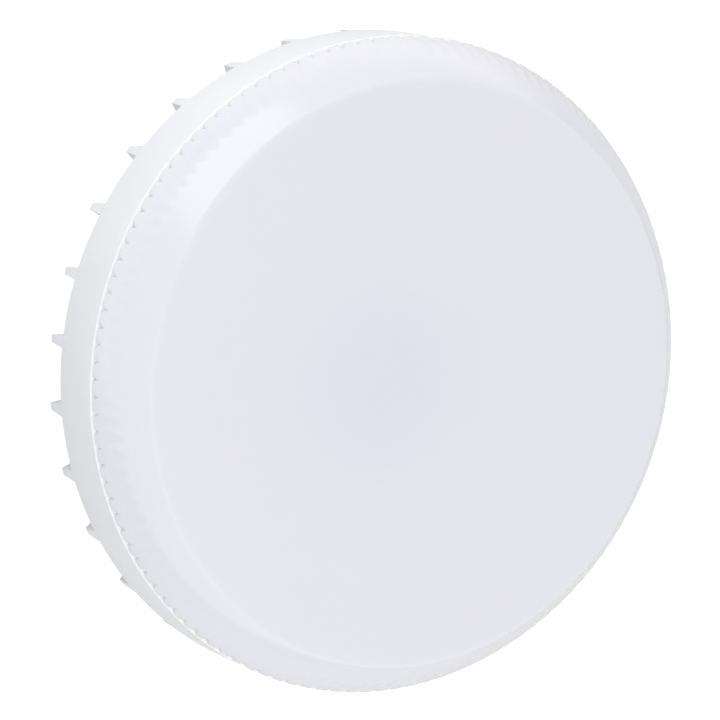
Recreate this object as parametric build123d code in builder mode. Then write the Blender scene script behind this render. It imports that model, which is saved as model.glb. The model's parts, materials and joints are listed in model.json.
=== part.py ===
from build123d import *
from math import cos, radians, sin, sqrt, tan
import os

# A disc lamp for a twist-lock ceiling holder, lying lens up on the end of its centre boss.
# Z is the lamp's axis, X runs through the two contact pins. Millimetres and degrees.

# Housing: ring, finned shoulder, rear plate and centre boss
lamp_diameter = 75.0
ring_height = 8.2
ring_wall = 1.8
ring_draft = 2.0
rim_round = 0.4
rear_rim_width = 0.9
shoulder_depth = 4.8
shoulder_width = 3.9
shoulder_wall = 1.8
plate_wall = 2.0
boss_radius = 19.5
boss_height = 8.4
boss_wall = 1.9
boss_floor_wall = 1.8
boss_draft = 1.0
boss_end_round = 1.0
boss_root_round = 0.8

# Cooling fins behind the ring
fin_count = 30
fin_root_thickness = 1.4
fin_draft = 5.0
fin_setback = 0.1
fin_bury = 0.3
fin_drop = 3.3
fin_round = 0.22

# Diffuser, a clipped-on dished cap
diffuser_wall = 1.4
edge_step = 0.05
face_inset = 4.2
face_height = 6.3
face_round = 0.7
inner_face_round = 0.5
side_bulge = 0.4
dome_sag = 1.8
notch_count = 120
notch_angle = 1.5
notch_height = 0.9
notch_width = 0.9
skirt_gap = 0.15
skirt_wall = 1.2
skirt_depth = 2.3
snap_count = 4
snap_angle = 45.0
snap_arc = 16.0
snap_reach = 0.45
snap_height = 1.0
snap_slope_height = 0.5
snap_lift = 0.3
snap_play = 0.12
snap_play_arc = 1.0

# Heat spreader, insulating sheet and LED board
spreader_drop = 4.2
spreader_wall = 1.5
spreader_round = 0.9
spreader_gap = 0.3
spreader_rim_depth = 1.2
sheet_thickness = 0.4
sheet_gap = 0.4
led_board_thickness = 1.0
led_board_gap = 0.8
led_length = 3.5
led_width = 2.8
led_height = 0.7
led_dish_radius = 1.1
led_dish_depth = 0.3
outer_led_count = 15
outer_led_inset = 4.6
inner_led_count = 9
inner_led_gap = 0.6

# Screws through the LED board, and what carries them
screw_count = 3
screw_angle = 90.0
screw_shank_radius = 1.15
screw_length = 8.5
screw_head_radius = 2.7
screw_head_height = 1.9
screw_head_round = 0.8
screw_slot_width = 0.7
screw_slot_depth = 0.9
screw_hole_gap = 0.4
pilot_gap = 0.05
pilot_spare = 0.4
post_radius = 3.0
rib_count = 6
rib_angle = 30.0
rib_thickness = 1.2
rib_gap = 0.5

# Contact pins, at the holder's spacing whatever the diameter of the lamp
pin_spacing = 53.0
pin_setback = 1.4
pin_head_radius = 2.5
pin_head_height = 1.9
pin_crown_height = 0.85
pin_neck_radius = 1.5
pin_flange_radius = 3.2
pin_flange_height = 0.8
pin_shank_radius = 1.7
pin_gap = 0.05
pin_collar_wall = 1.8
pin_collar_height = 1.5
pin_rivet_radius = 2.2
pin_rivet_height = 0.5
pin_bore_depth = 2.6

# Driver board and its seat in the boss
board_thickness = 1.6
board_gap = 0.3
board_standoff = 3.4
ledge_count = 4
ledge_angle = 50.0
ledge_reach = 2.2
ledge_thickness = 1.2
clip_arc = 20.0
clip_reach = 0.65
clip_height = 0.9
clip_gap = 0.1
key_angle = 70.0
key_width = 1.6
key_reach = 1.2
key_gap = 0.2
leg_radius = 0.3
leg_hole_gap = 0.12
leg_stub = 1.2
leg_bend = 0.8
component_lift = 0.1
chip_lift = 0.1
lead_thickness = 0.2
solder_height = 0.8
solder_gap = 0.02

# Insulated leads
wire_radius = 0.6
strand_radius = 0.28
lead_clearance = 0.3
output_lead_angle = 20.8
output_lead_pitch = 1.7
lead_hole_radius = 2.2
pad_reach = 4.35
pad_spread = 9.0
pad_rise = 1.3
pad_loop = 2.6

# Where the leads bend, as shares of their way across and of their height, and how easily
pin_rise_share = 0.5
input_way_shares = (0.84, 0.36, 0.1, 0.0)
input_height_shares = (1.0, 0.94, 0.68, 0.34)
output_way_shares = (0.3, 0.74)
output_height_shares = (1.0, 0.96)
bend_share = 0.45

# How closely an edge lies to the radius and height that it is picked by
edge_match = 0.01

# Heights, counted from the end face of the boss
z_plate = boss_height
z_plate_top = z_plate + plate_wall
z_rear_rim = z_plate + shoulder_depth
z_seam = z_rear_rim + ring_height
z_face = z_seam + face_height
z_top = z_face + dome_sag
z_spreader = z_seam - spreader_drop
z_sheet = z_spreader - sheet_thickness
z_led_board = z_spreader + spreader_wall
z_led_top = z_led_board + led_board_thickness
z_skirt = z_seam - skirt_depth
z_board = boss_floor_wall + board_standoff
z_board_top = z_board + board_thickness
z_leg_end = z_board - leg_stub
z_pin_top = z_plate_top + pin_collar_height + pin_rivet_height
z_pad = z_led_top + solder_height

# Radii of the housing
ring_radius = lamp_diameter / 2
ring_bore = ring_radius - ring_wall
ring_rear_radius = ring_radius - ring_height * tan(radians(ring_draft))
shoulder_radius = ring_rear_radius - rear_rim_width
plate_radius = shoulder_radius - shoulder_width
shoulder_slope = shoulder_width / shoulder_depth
shoulder_inset = shoulder_wall * sqrt(1 + shoulder_slope**2)
boss_end_radius = boss_radius - boss_height * tan(radians(boss_draft))
boss_bore = boss_radius - boss_wall
boss_bore_end = boss_bore - (z_plate_top - boss_floor_wall) * tan(radians(boss_draft))

# Radii of what fits inside
skirt_radius = ring_bore - skirt_gap
skirt_bore = skirt_radius - skirt_wall
spreader_radius = ring_bore - spreader_gap
spreader_bore = spreader_radius - spreader_wall
sheet_radius = spreader_bore - sheet_gap
led_board_radius = skirt_bore - led_board_gap
outer_led_radius = led_board_radius - outer_led_inset
driver_board_radius = boss_bore_end - board_gap
screw_circle_radius = boss_radius + post_radius
rib_inner_radius = screw_circle_radius + post_radius + rib_gap
clearance_hole = screw_shank_radius + screw_hole_gap
leg_hole_radius = leg_radius + leg_hole_gap

# The driver is laid out for a board of the usual radius and drawn in proportion on this one
usual_board_radius = 17.15
board_unit = driver_board_radius / usual_board_radius

# Parts on the driver board
bulk_capacitor_radius = 4.0 * board_unit
bulk_capacitor_length = 12.0 * board_unit
bulk_capacitor_spot = (-8.0 * board_unit, 0.0)
bulk_leg_pitch = 3.5 * board_unit
bulk_leg_run = 2.0 * board_unit
output_capacitor_radius = 3.15 * board_unit
output_capacitor_height = 7.5 * board_unit
output_capacitor_spot = (8.0 * board_unit, -8.0 * board_unit)
output_leg_pitch = 2.5 * board_unit
capacitor_round = 0.6 * board_unit
film_capacitor_size = (9.0 * board_unit, 4.0 * board_unit, 7.0 * board_unit)
film_capacitor_spot = (0.0, -11.8 * board_unit)
film_leg_pitch = 7.5 * board_unit
film_capacitor_round = 0.4 * board_unit
varistor_radius = 3.5 * board_unit
varistor_thickness = 3.2 * board_unit
varistor_spot = (-4.0 * board_unit, 11.5 * board_unit)
varistor_leg_pitch = 5.0 * board_unit
varistor_round = 1.0 * board_unit
resistor_radius = 1.4 * board_unit
resistor_length = 8.0 * board_unit
resistor_waist_radius = 1.15 * board_unit
resistor_cap_length = 1.6 * board_unit
resistor_spot = (-0.8 * board_unit, 0.0)
resistor_leg_run = 2.5 * board_unit
coil_core_radius = 4.0 * board_unit
coil_core_height = 8.0 * board_unit
coil_flange_height = 1.3 * board_unit
coil_post_radius = 1.8 * board_unit
coil_winding_radius = 3.6 * board_unit
coil_winding_gap = 0.05 * board_unit
coil_spot = (6.5 * board_unit, 6.0 * board_unit)
coil_leg_pitch = 5.0 * board_unit

# Surface-mounted parts under the driver board
bridge_size = (4.7 * board_unit, 3.9 * board_unit, 2.2 * board_unit)
bridge_spot = (-8.0 * board_unit, 3.0 * board_unit)
bridge_lead_pitch = 2.5 * board_unit
bridge_lead_width = 0.7 * board_unit
bridge_lead_count = 2
chip_size = (4.9 * board_unit, 3.9 * board_unit, 1.5 * board_unit)
chip_spot = (4.0 * board_unit, -2.0 * board_unit)
chip_lead_pitch = 1.27 * board_unit
chip_lead_width = 0.42 * board_unit
chip_lead_count = 4
lead_reach = 1.0 * board_unit
lead_foot = 0.55 * board_unit
diode_size = (4.3 * board_unit, 2.6 * board_unit, 2.0 * board_unit)
diode_spot = (9.6 * board_unit, -1.4 * board_unit)
diode_tab_width = 1.5 * board_unit
diode_tab_reach = 0.45 * board_unit
chip_resistor_size = (2.0 * board_unit, 1.25 * board_unit, 0.5 * board_unit)
chip_resistor_spot = (-5.0 * board_unit, -3.0 * board_unit)
chip_resistor_pitch = (3.0 * board_unit, 2.2 * board_unit)
chip_resistor_column_count = 3
chip_resistor_row_count = 2
chip_capacitor_size = (2.0 * board_unit, 1.25 * board_unit, 0.9 * board_unit)
chip_capacitor_spot = (2.2 * board_unit, 11.0 * board_unit)
chip_capacitor_pitch = 2.2 * board_unit
chip_capacitor_count = 2

# Solder, leads and pads, and the LEDs that stand clear of the leads
solder_radius = 1.0 * board_unit
solder_tip_radius = 0.5 * board_unit
input_lead_inset = 3.1 * board_unit
output_lead_inset = 2.1 * board_unit
input_lead_x = driver_board_radius - input_lead_inset
output_lead_radius = driver_board_radius - output_lead_inset
pad_radius = output_lead_radius + pad_reach
inner_led_radius = output_lead_radius - lead_hole_radius - led_length / 2 - inner_led_gap


def polar(radius, angle):
    """A point given by its distance from the axis and its bearing."""
    return (radius * cos(radians(angle)), radius * sin(radians(angle)))


def pair(spot, pitch, along=(1, 0)):
    """Two points a pitch apart, either side of a spot."""
    return [(spot[0] + reach * along[0], spot[1] + reach * along[1]) for reach in (-pitch / 2, pitch / 2)]


def rim(solid, radius, height):
    """The circular edges of one radius at one height."""
    circles = solid.edges().filter_by(GeomType.CIRCLE)
    level = circles.filter_by(lambda edge: abs(edge.arc_center.Z - height) < edge_match)
    return level.filter_by(lambda edge: abs(edge.radius - radius) < edge_match)


def easy_radii(route):
    """The bend radius at each inner point: as large as the shorter of its two runs allows."""
    bends = []
    for before, corner, after in zip(route, route[1:], route[2:]):
        run_in = Vector(*corner) - Vector(*before)
        run_out = Vector(*after) - Vector(*corner)
        half_turn = radians(run_in.get_angle(run_out)) / 2
        bends.append(bend_share * min(run_in.length, run_out.length) / tan(half_turn))
    return bends


def insulated_lead(name, route, first_tail, last_tail):
    """A lead along straight runs joined by arcs, with bare strands standing down from both ends."""
    bends = easy_radii(route)
    print(name, "bend radii", [round(bend, 2) for bend in bends])
    with BuildPart() as lead:
        with BuildLine() as path:
            FilletPolyline(*route, radius=bends)
        with BuildSketch(Plane(origin=route[0], z_dir=(0, 0, 1))):
            Circle(wire_radius)
        sweep(path=path.wire())
        with Locations(route[0]):
            Cylinder(strand_radius, first_tail, align=(Align.CENTER, Align.CENTER, Align.MAX))
        with Locations(route[-1]):
            Cylinder(strand_radius, last_tail, align=(Align.CENTER, Align.CENTER, Align.MAX))
    lead.part.label = name
    return lead.part


def leaded_chip(name, spot, size, lead_pitch, lead_width, leads_per_side):
    """A moulded chip hung under the driver board on bent leads along both long sides."""
    length, width, height = size
    knee = width / 2 + lead_reach - lead_foot
    toe = width / 2 + lead_reach
    waist = z_board - chip_lift - height / 2
    with BuildPart() as body:
        with Locations((spot[0], spot[1], z_board - chip_lift)):
            Box(length, width, height, align=(Align.CENTER, Align.CENTER, Align.MAX))
        with BuildSketch(Plane(origin=(spot[0] - (leads_per_side - 1) * lead_pitch / 2, spot[1], 0),
                               x_dir=(0, 1, 0), z_dir=(1, 0, 0))) as bent_strip:
            with BuildLine():
                Polyline((0, waist), (knee, waist), (knee, z_board - lead_thickness),
                         (toe, z_board - lead_thickness), (toe, z_board), (knee - lead_thickness, z_board),
                         (knee - lead_thickness, waist + lead_thickness), (0, waist + lead_thickness),
                         close=True)
            make_face()
            mirror(about=Plane.YZ)
        for place in range(leads_per_side):
            strip = bent_strip.sketch.moved(Location((place * lead_pitch, 0, 0)))
            extrude(strip, amount=lead_width / 2, both=True)
    body.part.label = name
    return body.part


# Where legs and leads pass through the driver board
bulk_leg_y = bulk_capacitor_spot[1] - bulk_capacitor_length / 2 - bulk_leg_run
bulk_legs = pair((bulk_capacitor_spot[0], bulk_leg_y), bulk_leg_pitch)
output_legs = pair(output_capacitor_spot, output_leg_pitch)
film_legs = pair(film_capacitor_spot, film_leg_pitch)
varistor_legs = pair(varistor_spot, varistor_leg_pitch)
resistor_legs = pair(resistor_spot, resistor_length + 2 * resistor_leg_run, along=(0, 1))
coil_legs = pair(coil_spot, coil_leg_pitch)
component_legs = bulk_legs + output_legs + film_legs + varistor_legs + resistor_legs + coil_legs
input_lead_ends = [(side * input_lead_x, 0.0) for side in (-1, 1)]
output_half_angle = output_lead_pitch / 2 / radians(output_lead_radius)
output_lead_ends = [polar(output_lead_radius, output_lead_angle + turn)
                    for turn in (-output_half_angle, output_half_angle)]
pad_spots = [polar(pad_radius, output_lead_angle + turn) for turn in (-pad_spread, pad_spread)]
lead_ends = input_lead_ends + output_lead_ends
lead_hole_spot = polar(output_lead_radius, output_lead_angle)

# One cooling fin, drafted all round, its crest sloping down to the edge of the rear plate
fin_outer_radius = ring_rear_radius - fin_setback
fin_length = fin_outer_radius - plate_radius + fin_bury
crest_end = (fin_outer_radius - fin_drop * tan(radians(fin_draft)), z_rear_rim - fin_drop)
crest_run = (crest_end[0] - plate_radius, crest_end[1] - z_plate)
with BuildPart() as fin:
    with BuildSketch(Plane.XY.offset(z_rear_rim)):
        with Locations((fin_outer_radius, 0)):
            Rectangle(fin_length, fin_root_thickness, align=(Align.MAX, Align.CENTER))
    extrude(amount=-shoulder_depth, taper=fin_draft)
    crest = Plane(origin=(plate_radius, 0, z_plate), x_dir=(crest_run[0], 0, crest_run[1]),
                  z_dir=(-crest_run[1], 0, crest_run[0]))
    split(bisect_by=crest, keep=Keep.TOP)
    fillet(fin.faces().sort_by(Axis.Z)[0].edges().sort_by(Axis.X)[1:], fin_round)

# Housing, one moulding: the outer form with its fins first, then the cavity, then what stands inside
with BuildPart() as housing:
    with BuildSketch(Plane.XZ):
        with BuildLine():
            Polyline((0, 0), (boss_end_radius, 0), (boss_radius, z_plate), (plate_radius, z_plate),
                     (shoulder_radius, z_rear_rim), (ring_rear_radius, z_rear_rim), (ring_radius, z_seam),
                     (0, z_seam), close=True)
        make_face()
    revolve(axis=Axis.Z)
    fillet(rim(housing, boss_end_radius, 0), boss_end_round)
    fillet(rim(housing, boss_radius, z_plate), boss_root_round)
    fillet(rim(housing, ring_radius, z_seam), rim_round)
    with PolarLocations(0, fin_count):
        add(fin.part)
    cone_foot = plate_radius - shoulder_inset + plate_wall * shoulder_slope
    cone_top = z_plate + (ring_bore - plate_radius + shoulder_inset) / shoulder_slope
    with BuildSketch(Plane.XZ):
        with BuildLine():
            Polyline((0, boss_floor_wall), (boss_bore_end, boss_floor_wall), (boss_bore, z_plate_top),
                     (cone_foot, z_plate_top), (ring_bore, cone_top), (ring_bore, z_seam), (0, z_seam),
                     close=True)
        make_face()
    revolve(axis=Axis.Z, mode=Mode.SUBTRACT)

    # Pockets for the diffuser's snap lugs
    pocket_low = z_skirt + snap_lift - snap_play
    pocket_high = z_skirt + snap_lift + snap_height + snap_play
    for place in range(snap_count):
        start = snap_angle + place * 360 / snap_count - snap_arc / 2 - snap_play_arc
        with BuildSketch(Plane.XZ.rotated((0, 0, start))):
            with Locations(((skirt_radius + snap_reach + snap_play), (pocket_low + pocket_high) / 2)):
                Rectangle(ring_wall, pocket_high - pocket_low, align=(Align.MAX, Align.CENTER))
        revolve(axis=Axis.Z, revolution_arc=snap_arc + 2 * snap_play_arc, mode=Mode.SUBTRACT)

    # Screw posts, support ribs and pin collars on the plate
    post_height = z_sheet - z_plate_top
    with Locations(Plane.XY.offset(z_plate_top)):
        with PolarLocations(screw_circle_radius, screw_count, start_angle=screw_angle):
            Cylinder(post_radius, post_height, align=(Align.CENTER, Align.CENTER, Align.MIN))
        with PolarLocations(rib_inner_radius, rib_count, start_angle=rib_angle):
            Box(sheet_radius - rib_inner_radius, rib_thickness, post_height,
                align=(Align.MIN, Align.CENTER, Align.MIN))
        with GridLocations(pin_spacing, 0, 2, 1):
            Cylinder(pin_shank_radius + pin_collar_wall, pin_collar_height,
                     align=(Align.CENTER, Align.CENTER, Align.MIN))
    screw_depth = z_sheet - (z_led_top - screw_length) + pilot_spare
    with Locations(Plane.XY.offset(z_sheet)):
        with PolarLocations(screw_circle_radius, screw_count, start_angle=screw_angle):
            Cylinder(screw_shank_radius + pilot_gap, screw_depth, mode=Mode.SUBTRACT,
                     align=(Align.CENTER, Align.CENTER, Align.MAX))
    with GridLocations(pin_spacing, 0, 2, 1):
        Cylinder(pin_shank_radius + pin_gap, z_pin_top, mode=Mode.SUBTRACT,
                 align=(Align.CENTER, Align.CENTER, Align.MIN))

    # Seat of the driver board: ledges under it, ridges that clip over it and a key at its edge
    with Locations(Plane.XY.offset(boss_floor_wall)):
        with PolarLocations(boss_bore, ledge_count, start_angle=ledge_angle):
            Box(ledge_reach, ledge_thickness, board_standoff, align=(Align.MAX, Align.CENTER, Align.MIN))
        with PolarLocations(boss_bore, 1, start_angle=key_angle):
            Box(key_reach, key_width, z_board_top - boss_floor_wall,
                align=(Align.MAX, Align.CENTER, Align.MIN))
    clip_foot = z_board_top + clip_gap
    clip_angle = ledge_angle + 180 / ledge_count
    for place in range(ledge_count):
        start = clip_angle + place * 360 / ledge_count - clip_arc / 2
        with BuildSketch(Plane.XZ.rotated((0, 0, start))):
            with BuildLine():
                Polyline((boss_bore + clip_gap, clip_foot), (boss_bore - clip_reach, clip_foot),
                         (boss_bore + clip_gap, clip_foot + clip_height), close=True)
            make_face()
        revolve(axis=Axis.Z, revolution_arc=clip_arc)

# Diffuser: a turned section with a clipped skirt, and a row of small notches at its edge
base_radius = ring_radius - edge_step
face_radius = ring_radius - face_inset
side_slope = (base_radius - face_radius) / face_height
side_inset = diffuser_wall * sqrt(1 + side_slope**2)
side_length = face_height * sqrt(1 + side_slope**2)
side_radius = (side_length**2 / 4 + side_bulge**2) / (2 * side_bulge)
side_centre_depth = (side_radius - side_bulge) / side_length
side_centre_radius = (base_radius + face_radius) / 2 - face_height * side_centre_depth
z_side_centre = (z_seam + z_face) / 2 - (base_radius - face_radius) * side_centre_depth
z_inner_top = z_top - diffuser_wall
dome_radius = (face_radius**2 + dome_sag**2) / (2 * dome_sag)
inner_dome_radius = dome_radius - diffuser_wall
inner_face_radius = face_radius - side_inset + side_slope * diffuser_wall
z_inner_face = z_inner_top - inner_dome_radius + sqrt(inner_dome_radius**2 - inner_face_radius**2)
z_web = z_seam + diffuser_wall
web_corner = base_radius - side_inset - side_slope * diffuser_wall
with BuildPart() as diffuser:
    with BuildSketch(Plane.XZ):
        with BuildLine():
            RadiusArc((0, z_top), (face_radius, z_face), dome_radius)
            RadiusArc((face_radius, z_face), (base_radius, z_seam), side_radius)
            Polyline((base_radius, z_seam), (skirt_radius, z_seam), (skirt_radius, z_skirt),
                     (skirt_bore, z_skirt), (skirt_bore, z_web), (web_corner, z_web))
            RadiusArc((web_corner, z_web), (inner_face_radius, z_inner_face), diffuser_wall - side_radius)
            RadiusArc((inner_face_radius, z_inner_face), (0, z_inner_top), -inner_dome_radius)
            Line((0, z_inner_top), (0, z_top))
        make_face()
    revolve(axis=Axis.Z)
    fillet(rim(diffuser, face_radius, z_face), face_round)
    fillet(rim(diffuser, inner_face_radius, z_inner_face), inner_face_round)
    for place in range(snap_count):
        start = snap_angle + place * 360 / snap_count - snap_arc / 2
        lug_low = z_skirt + snap_lift
        with BuildSketch(Plane.XZ.rotated((0, 0, start))):
            with BuildLine():
                Polyline((skirt_radius - snap_reach, lug_low), (skirt_radius, lug_low),
                         (skirt_radius + snap_reach, lug_low + snap_slope_height),
                         (skirt_radius + snap_reach, lug_low + snap_height),
                         (skirt_radius - snap_reach, lug_low + snap_height), close=True)
            make_face()
        revolve(axis=Axis.Z, revolution_arc=snap_arc)
    notch_root = side_centre_radius + sqrt(side_radius**2 - (z_seam + notch_height - z_side_centre)**2)
    notch_mouth = ring_radius + edge_step
    notch_half_mouth = notch_width / 2 * (notch_mouth - notch_root) / (base_radius - notch_root)
    with BuildSketch(Plane.XY.offset(z_seam)):
        with PolarLocations(0, notch_count, start_angle=notch_angle):
            Polygon((notch_root, 0), (notch_mouth, notch_half_mouth), (notch_mouth, -notch_half_mouth),
                    align=None)
    extrude(amount=notch_height, mode=Mode.SUBTRACT)

# Heat spreader: a stamped dish, rim down, over the posts and ribs
with BuildPart() as heat_spreader:
    with BuildSketch(Plane.XY.offset(z_spreader)):
        Circle(spreader_radius)
    extrude(amount=spreader_wall)
    fillet(rim(heat_spreader, spreader_radius, z_led_board), spreader_round)
    with BuildSketch(Plane.XY.offset(z_spreader)):
        Circle(spreader_radius)
        Circle(spreader_bore, mode=Mode.SUBTRACT)
    extrude(amount=-spreader_rim_depth)
    with BuildSketch(Plane.XY.offset(z_spreader)):
        with PolarLocations(screw_circle_radius, screw_count, start_angle=screw_angle):
            Circle(clearance_hole)
        with Locations(lead_hole_spot):
            Circle(lead_hole_radius)
    extrude(amount=spreader_wall, mode=Mode.SUBTRACT)

with BuildPart() as insulating_sheet:
    with BuildSketch(Plane.XY.offset(z_sheet)):
        Circle(sheet_radius)
        with PolarLocations(screw_circle_radius, screw_count, start_angle=screw_angle):
            Circle(clearance_hole, mode=Mode.SUBTRACT)
        with Locations(lead_hole_spot):
            Circle(lead_hole_radius, mode=Mode.SUBTRACT)
    extrude(amount=sheet_thickness)

with BuildPart() as led_board:
    with BuildSketch(Plane.XY.offset(z_led_board)):
        Circle(led_board_radius)
        with PolarLocations(screw_circle_radius, screw_count, start_angle=screw_angle):
            Circle(clearance_hole, mode=Mode.SUBTRACT)
        with Locations(lead_hole_spot):
            Circle(lead_hole_radius, mode=Mode.SUBTRACT)
    extrude(amount=led_board_thickness)

# LED packages: small trays with a round phosphor dish, in two rings, the screws midway between two of them
led_rings = ((outer_led_radius, outer_led_count, screw_angle + 180 / outer_led_count),
             (inner_led_radius, inner_led_count, 0))
with BuildPart() as led_packages:
    for radius, count, first_angle in led_rings:
        with BuildSketch(Plane.XY.offset(z_led_top)):
            with PolarLocations(radius, count, start_angle=first_angle):
                Rectangle(led_length, led_width)
        extrude(amount=led_height)
        with BuildSketch(Plane.XY.offset(z_led_top + led_height)):
            with PolarLocations(radius, count, start_angle=first_angle):
                Circle(led_dish_radius)
        extrude(amount=-led_dish_depth, mode=Mode.SUBTRACT)

# Pan-head screws that clamp board, spreader and sheet to the posts
with BuildPart() as board_screws:
    with Locations(Plane.XY.offset(z_led_top)):
        with PolarLocations(screw_circle_radius, screw_count, start_angle=screw_angle):
            Cylinder(screw_head_radius, screw_head_height, align=(Align.CENTER, Align.CENTER, Align.MIN))
            Cylinder(screw_shank_radius, screw_length, align=(Align.CENTER, Align.CENTER, Align.MAX))
    fillet(rim(board_screws, screw_head_radius, z_led_top + screw_head_height), screw_head_round)
    slot_length = 2 * (screw_head_radius - screw_head_round)
    with Locations(Plane.XY.offset(z_led_top + screw_head_height)):
        with PolarLocations(screw_circle_radius, screw_count, start_angle=screw_angle):
            Box(slot_length, screw_slot_width, 2 * screw_slot_depth, mode=Mode.SUBTRACT)
            Box(screw_slot_width, slot_length, 2 * screw_slot_depth, mode=Mode.SUBTRACT)

# Driver board: a round board keyed to the boss, drilled for legs and leads
with BuildPart() as driver_board:
    with BuildSketch(Plane.XY.offset(z_board)):
        Circle(driver_board_radius)
        with PolarLocations(boss_bore - key_reach - key_gap, 1, start_angle=key_angle):
            Rectangle(2 * key_reach, key_width + 2 * key_gap, mode=Mode.SUBTRACT,
                      align=(Align.MIN, Align.CENTER))
        with Locations(*component_legs, *lead_ends):
            Circle(leg_hole_radius, mode=Mode.SUBTRACT)
    extrude(amount=board_thickness)

# Solder: a cone round every leg and strand under the driver board, a bead on each LED board pad
with BuildPart() as solder_joints:
    with Locations(Plane.XY.offset(z_board)):
        with Locations(*component_legs, *lead_ends):
            Cone(solder_tip_radius, solder_radius, solder_height,
                 align=(Align.CENTER, Align.CENTER, Align.MAX))
    with Locations(Plane.XY.offset(z_led_top)):
        with Locations(*pad_spots):
            Cone(solder_radius, solder_tip_radius, solder_height,
                 align=(Align.CENTER, Align.CENTER, Align.MIN))
    with Locations(*component_legs):
        Cylinder(leg_radius + solder_gap, z_board, mode=Mode.SUBTRACT,
                 align=(Align.CENTER, Align.CENTER, Align.MIN))
    with Locations(*lead_ends, *pad_spots):
        Cylinder(strand_radius + solder_gap, z_top, mode=Mode.SUBTRACT,
                 align=(Align.CENTER, Align.CENTER, Align.MIN))

# Bulk capacitor: a can lying on the board, its legs bent down through it
can_height = z_board_top + component_lift + bulk_capacitor_radius
leg_start = bulk_capacitor_spot[1] - bulk_capacitor_length / 2
bent_legs = []
for foot in bulk_legs:
    with BuildPart() as bent_leg:
        with BuildLine() as path:
            FilletPolyline((foot[0], leg_start, can_height), (foot[0], foot[1], can_height),
                           (foot[0], foot[1], z_leg_end), radius=leg_bend)
        with BuildSketch(Plane(origin=(foot[0], leg_start, can_height), z_dir=(0, -1, 0))):
            Circle(leg_radius)
        sweep(path=path.wire())
    bent_legs.append(bent_leg.part)
with BuildPart() as bulk_capacitor:
    with BuildSketch(Plane(origin=(bulk_capacitor_spot[0], leg_start, can_height), z_dir=(0, 1, 0))):
        Circle(bulk_capacitor_radius)
    extrude(amount=bulk_capacitor_length)
    fillet(bulk_capacitor.edges().filter_by(GeomType.CIRCLE), capacitor_round)
    add(bent_legs)

with BuildPart() as output_capacitor:
    with Locations((*output_capacitor_spot, z_board_top + component_lift)):
        Cylinder(output_capacitor_radius, output_capacitor_height,
                 align=(Align.CENTER, Align.CENTER, Align.MIN))
    fillet(output_capacitor.edges().filter_by(GeomType.CIRCLE), capacitor_round)
    with BuildSketch(Plane.XY.offset(z_leg_end)):
        with Locations(*output_legs):
            Circle(leg_radius)
    extrude(amount=z_board_top + 2 * component_lift - z_leg_end)

with BuildPart() as film_capacitor:
    with Locations((*film_capacitor_spot, z_board_top + component_lift)):
        Box(*film_capacitor_size, align=(Align.CENTER, Align.CENTER, Align.MIN))
    fillet(film_capacitor.edges().filter_by(Axis.Z), film_capacitor_round)
    with BuildSketch(Plane.XY.offset(z_leg_end)):
        with Locations(*film_legs):
            Circle(leg_radius)
    extrude(amount=z_board_top + 2 * component_lift - z_leg_end)

# Varistor: a coated disc standing on edge
varistor_height = z_board_top + component_lift + varistor_radius
with BuildPart() as varistor:
    with BuildSketch(Plane(origin=(*varistor_spot, varistor_height), z_dir=(0, 1, 0))):
        Circle(varistor_radius)
    extrude(amount=varistor_thickness / 2, both=True)
    fillet(varistor.edges().filter_by(GeomType.CIRCLE), varistor_round)
    with BuildSketch(Plane.XY.offset(z_leg_end)):
        with Locations(*varistor_legs):
            Circle(leg_radius)
    extrude(amount=varistor_height - z_leg_end)

# Fusible resistor: a waisted body lying on the board between its bent legs
resistor_height = z_board_top + component_lift + resistor_radius
with BuildPart() as fusible_resistor:
    with BuildSketch(Plane(origin=(*resistor_spot, resistor_height), x_dir=(0, 1, 0), z_dir=(1, 0, 0))):
        half = resistor_length / 2
        with BuildLine():
            Polyline((-half, 0), (-half, resistor_radius), (resistor_cap_length - half, resistor_radius),
                     (2 * resistor_cap_length - half, resistor_waist_radius),
                     (half - 2 * resistor_cap_length, resistor_waist_radius),
                     (half - resistor_cap_length, resistor_radius), (half, resistor_radius), (half, 0),
                     close=True)
        make_face()
    revolve(axis=Axis(origin=(*resistor_spot, resistor_height), direction=(0, 1, 0)))
    for foot in resistor_legs:
        with BuildLine() as path:
            FilletPolyline((foot[0], resistor_spot[1], resistor_height), (foot[0], foot[1], resistor_height),
                           (foot[0], foot[1], z_leg_end), radius=leg_bend)
        with BuildSketch(Plane(origin=(foot[0], resistor_spot[1], resistor_height),
                               z_dir=(0, foot[1] - resistor_spot[1], 0))):
            Circle(leg_radius)
        sweep(path=path.wire())

# Choke: a ferrite bobbin on two legs, and its winding
coil_foot = z_board_top + component_lift
with BuildPart() as choke_core:
    with Locations((*coil_spot, coil_foot)):
        Cylinder(coil_core_radius, coil_flange_height, align=(Align.CENTER, Align.CENTER, Align.MIN))
        Cylinder(coil_post_radius, coil_core_height, align=(Align.CENTER, Align.CENTER, Align.MIN))
    with Locations((*coil_spot, coil_foot + coil_core_height)):
        Cylinder(coil_core_radius, coil_flange_height, align=(Align.CENTER, Align.CENTER, Align.MAX))
    with BuildSketch(Plane.XY.offset(z_leg_end)):
        with Locations(*coil_legs):
            Circle(leg_radius)
    extrude(amount=coil_foot + component_lift - z_leg_end)

with BuildPart() as choke_winding:
    with BuildSketch(Plane.XY.offset(coil_foot + coil_flange_height)):
        with Locations(coil_spot):
            Circle(coil_winding_radius)
            Circle(coil_post_radius + coil_winding_gap, mode=Mode.SUBTRACT)
    extrude(amount=coil_core_height - 2 * coil_flange_height)

# Parts soldered flat to the underside of the driver board
bridge_rectifier = leaded_chip("bridge_rectifier", bridge_spot, bridge_size, bridge_lead_pitch,
                               bridge_lead_width, bridge_lead_count)
driver_chip = leaded_chip("driver_chip", chip_spot, chip_size, chip_lead_pitch, chip_lead_width,
                          chip_lead_count)

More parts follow.
